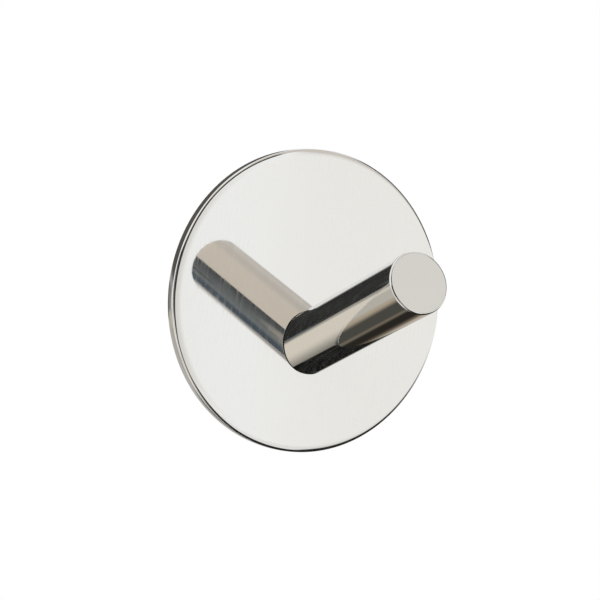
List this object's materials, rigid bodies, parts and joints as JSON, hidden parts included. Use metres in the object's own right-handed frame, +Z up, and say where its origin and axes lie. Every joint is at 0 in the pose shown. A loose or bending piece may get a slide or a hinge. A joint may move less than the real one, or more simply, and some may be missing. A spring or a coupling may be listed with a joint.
{
  "type": "adhesive wall hook",
  "caption": "Self-adhesive wall hook: a round mirror-polished steel plate on a foam pad carries one straight round peg that rises away from the wall.",
  "frame": {"origin": "centre of the adhesive pad's sticking face, on the wall", "axes": "+Y into the wall, square to it; the hook stands out towards -Y; +Z up; +X to the right as seen from the room"},
  "size_m": [0.05, 0.0388, 0.05],
  "materials": {
    "polished_plate": "mirror-polished stainless steel with fine upright polishing lines",
    "polished_peg": "mirror-polished stainless steel with fine polishing lines round the rod",
    "bright_fasteners": "plain bright steel",
    "foam_tape": "closed-cell acrylic foam, tacky and dull"
  },
  "bodies": {
    "root": {"back_plate": "polished_plate", "peg": "polished_peg", "peg_screw": "bright_fasteners", "locating_dowel": "bright_fasteners", "adhesive_pad": "foam_tape"}
  },
  "joints": []
}
